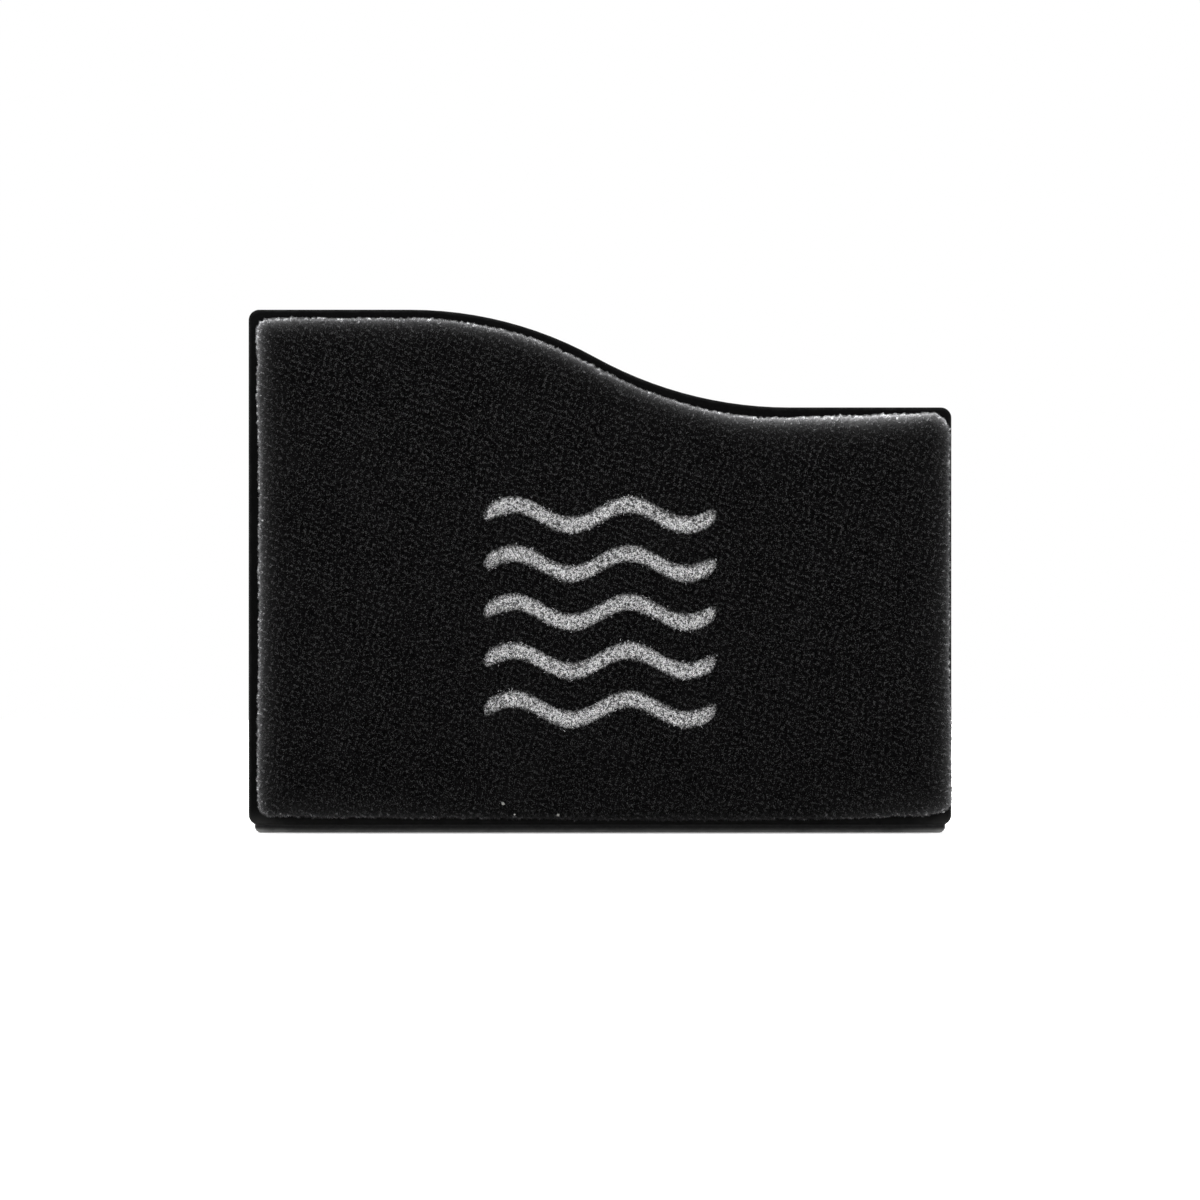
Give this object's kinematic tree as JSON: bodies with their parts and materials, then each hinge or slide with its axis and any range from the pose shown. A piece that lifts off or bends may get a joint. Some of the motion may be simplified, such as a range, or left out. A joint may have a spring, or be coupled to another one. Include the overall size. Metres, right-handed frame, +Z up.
{
  "type": "chalkboard eraser",
  "caption": "Hand-held board eraser: a hollow moulded grip with a wave-shaped top edge, a carrier plate and a soft pile pad held by adhesive.",
  "frame": {"origin": "centre of the whole object's box in plan, at the height of the grip shell's flat foot, on which the eraser stands on its long straight edge", "axes": "+Z up, towards the wave-shaped edge; +X along the long straight edge, towards the low end of the wave; the wiping pad faces -Y and the grip faces +Y"},
  "size_m": [0.11, 0.03, 0.082],
  "materials": {
    "grip_plastic": "satin",
    "plate_plastic": "satin",
    "screw_steel": "satin",
    "magnet_plating": "polished",
    "adhesive_foam": "matte",
    "board_fibre": "matte",
    "pad_foam": "matte",
    "pile_cloth": "matte"
  },
  "bodies": {
    "root": {"grip_shell": "grip_plastic", "pad_plate": "plate_plastic", "plate_screws": "screw_steel", "magnet_left": "magnet_plating", "magnet_right": "magnet_plating", "adhesive_sheet": "adhesive_foam", "backing_board": "board_fibre", "foam_core": "pad_foam", "pile_cover": "pile_cloth"}
  },
  "joints": []
}
